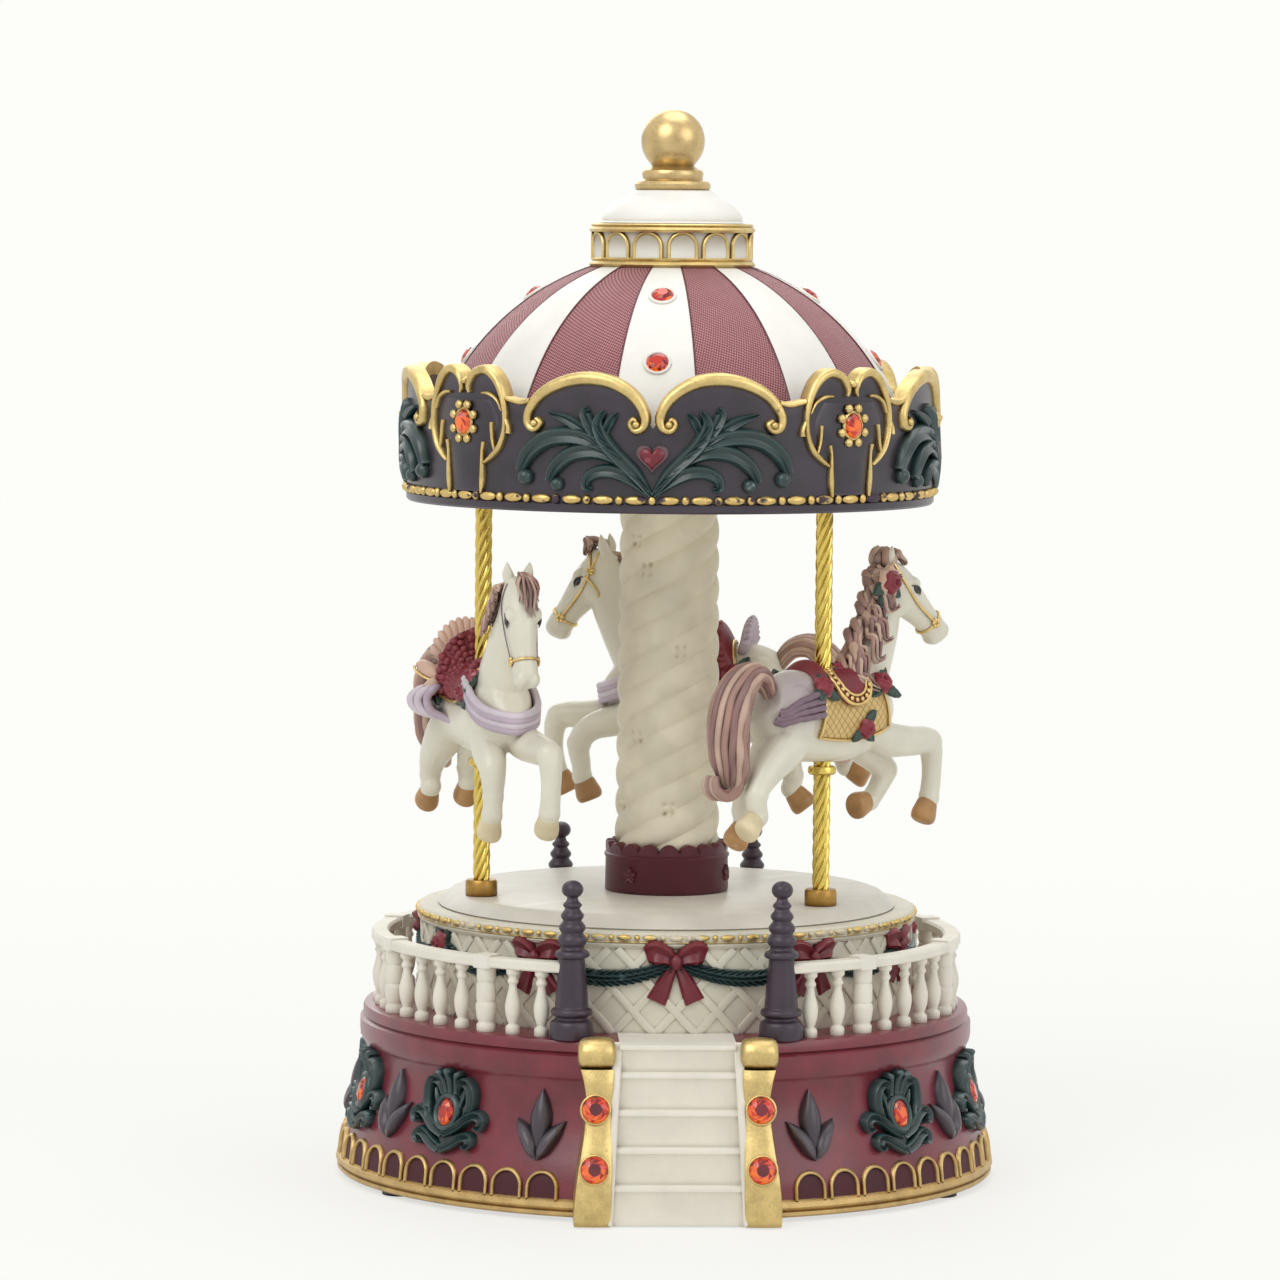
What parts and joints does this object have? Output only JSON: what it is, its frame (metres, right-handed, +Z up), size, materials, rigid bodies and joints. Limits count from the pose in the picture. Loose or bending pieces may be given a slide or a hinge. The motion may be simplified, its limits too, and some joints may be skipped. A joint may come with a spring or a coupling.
{
  "type": "wind-up carousel music box",
  "caption": "Wind-up music box shaped as a fairground carousel: horses on twisted brass poles turn under a striped dome above a stepped round base with a balustrade.",
  "frame": {"origin": "on the turning axis, on the plane of the felt pads that it stands on", "axes": "+Z up along the turning axis, -Y towards the front steps, +X to the right seen from the front"},
  "size_m": [0.1316, 0.142, 0.2115],
  "materials": {
    "burgundy_resin": "satin",
    "cream_resin": "satin",
    "dome_resin": "satin",
    "horse_resin": "satin",
    "purple_resin": "satin",
    "green_resin": "satin",
    "gold_resin": "satin",
    "cut_stone": "polished",
    "pole_brass": "polished",
    "movement_brass": "satin",
    "steel": "satin",
    "die_casting": "matte",
    "fan_plastic": "matte",
    "felt": "matte"
  },
  "bodies": {
    "base": {"base_shell": "burgundy_resin", "stairs_front": "cream_resin", "stairs_rear": "cream_resin", "rail_right": "cream_resin", "rail_left": "cream_resin", "balusters": "cream_resin", "rail_piers": "cream_resin", "lattice_drum": "cream_resin", "newel_posts": "purple_resin", "medallions": "green_resin", "stair_scrolls": "gold_resin", "base_gems": "cut_stone", "stair_gems": "cut_stone", "shaft_bush": "movement_brass", "click_spring": "steel", "cover_screws": "steel", "arbor_brackets": "steel", "governor_bracket": "steel", "comb": "steel", "movement_screws": "steel", "cover_plate": "steel", "bedplate": "die_casting", "comb_block": "die_casting", "foot_pads": "felt"},
    "carousel": {"spring_barrel": "movement_brass", "barrel_lid": "movement_brass", "mainspring": "steel", "centre_rod": "steel", "turntable": "cream_resin", "turntable_nut": "steel", "column": "cream_resin", "column_collar": "burgundy_resin", "pole_1": "pole_brass", "pole_2": "pole_brass", "pole_3": "pole_brass", "pole_ferrules": "pole_brass", "belly_collars": "pole_brass", "horse_1": "horse_resin", "horse_2": "horse_resin", "horse_3": "horse_resin", "canopy_ceiling": "cream_resin", "canopy_nut": "steel", "valance": "purple_resin", "valance_gems": "cut_stone", "canopy_dome": "dome_resin", "dome_gems": "cut_stone", "gallery": "cream_resin", "canopy_cap": "cream_resin", "finial": "gold_resin"},
    "key": {"winding_key": "steel", "winding_arbor": "steel"},
    "cylinder": {"cylinder_arbor": "steel", "cylinder_wheel": "movement_brass", "pin_cylinder": "movement_brass"},
    "second_wheel": {"second_arbor": "movement_brass"},
    "governor": {"governor_worm": "steel", "governor_fan": "fan_plastic"}
  },
  "joints": [
    {"name": "carousel_spin", "type": "hinge", "parent": "base", "child": "carousel", "pos_m": [0, 0, 0.05], "axis": [0, 0, 1], "continuous": true},
    {"name": "key_turn", "type": "hinge", "parent": "base", "child": "key", "pos_m": [0, 0, 0.01], "axis": [0, 0, 1], "range_deg": [0, 3060]},
    {"name": "cylinder_spin", "type": "hinge", "parent": "base", "child": "cylinder", "pos_m": [0.027, 0, 0.0315], "axis": [1, 0, 0], "continuous": true},
    {"name": "second_wheel_spin", "type": "hinge", "parent": "base", "child": "second_wheel", "pos_m": [0.032, -0.0116, 0.0315], "axis": [1, 0, 0], "continuous": true},
    {"name": "governor_spin", "type": "hinge", "parent": "base", "child": "governor", "pos_m": [0.02872, -0.0171, 0.0315], "axis": [0, 0, 1], "continuous": true}
  ],
  "couplings": [
    {"joint": "cylinder_spin", "follows": "carousel_spin", "ratio": 4},
    {"joint": "second_wheel_spin", "follows": "carousel_spin", "ratio": -19.2},
    {"joint": "governor_spin", "follows": "carousel_spin", "ratio": -460.8}
  ]
}
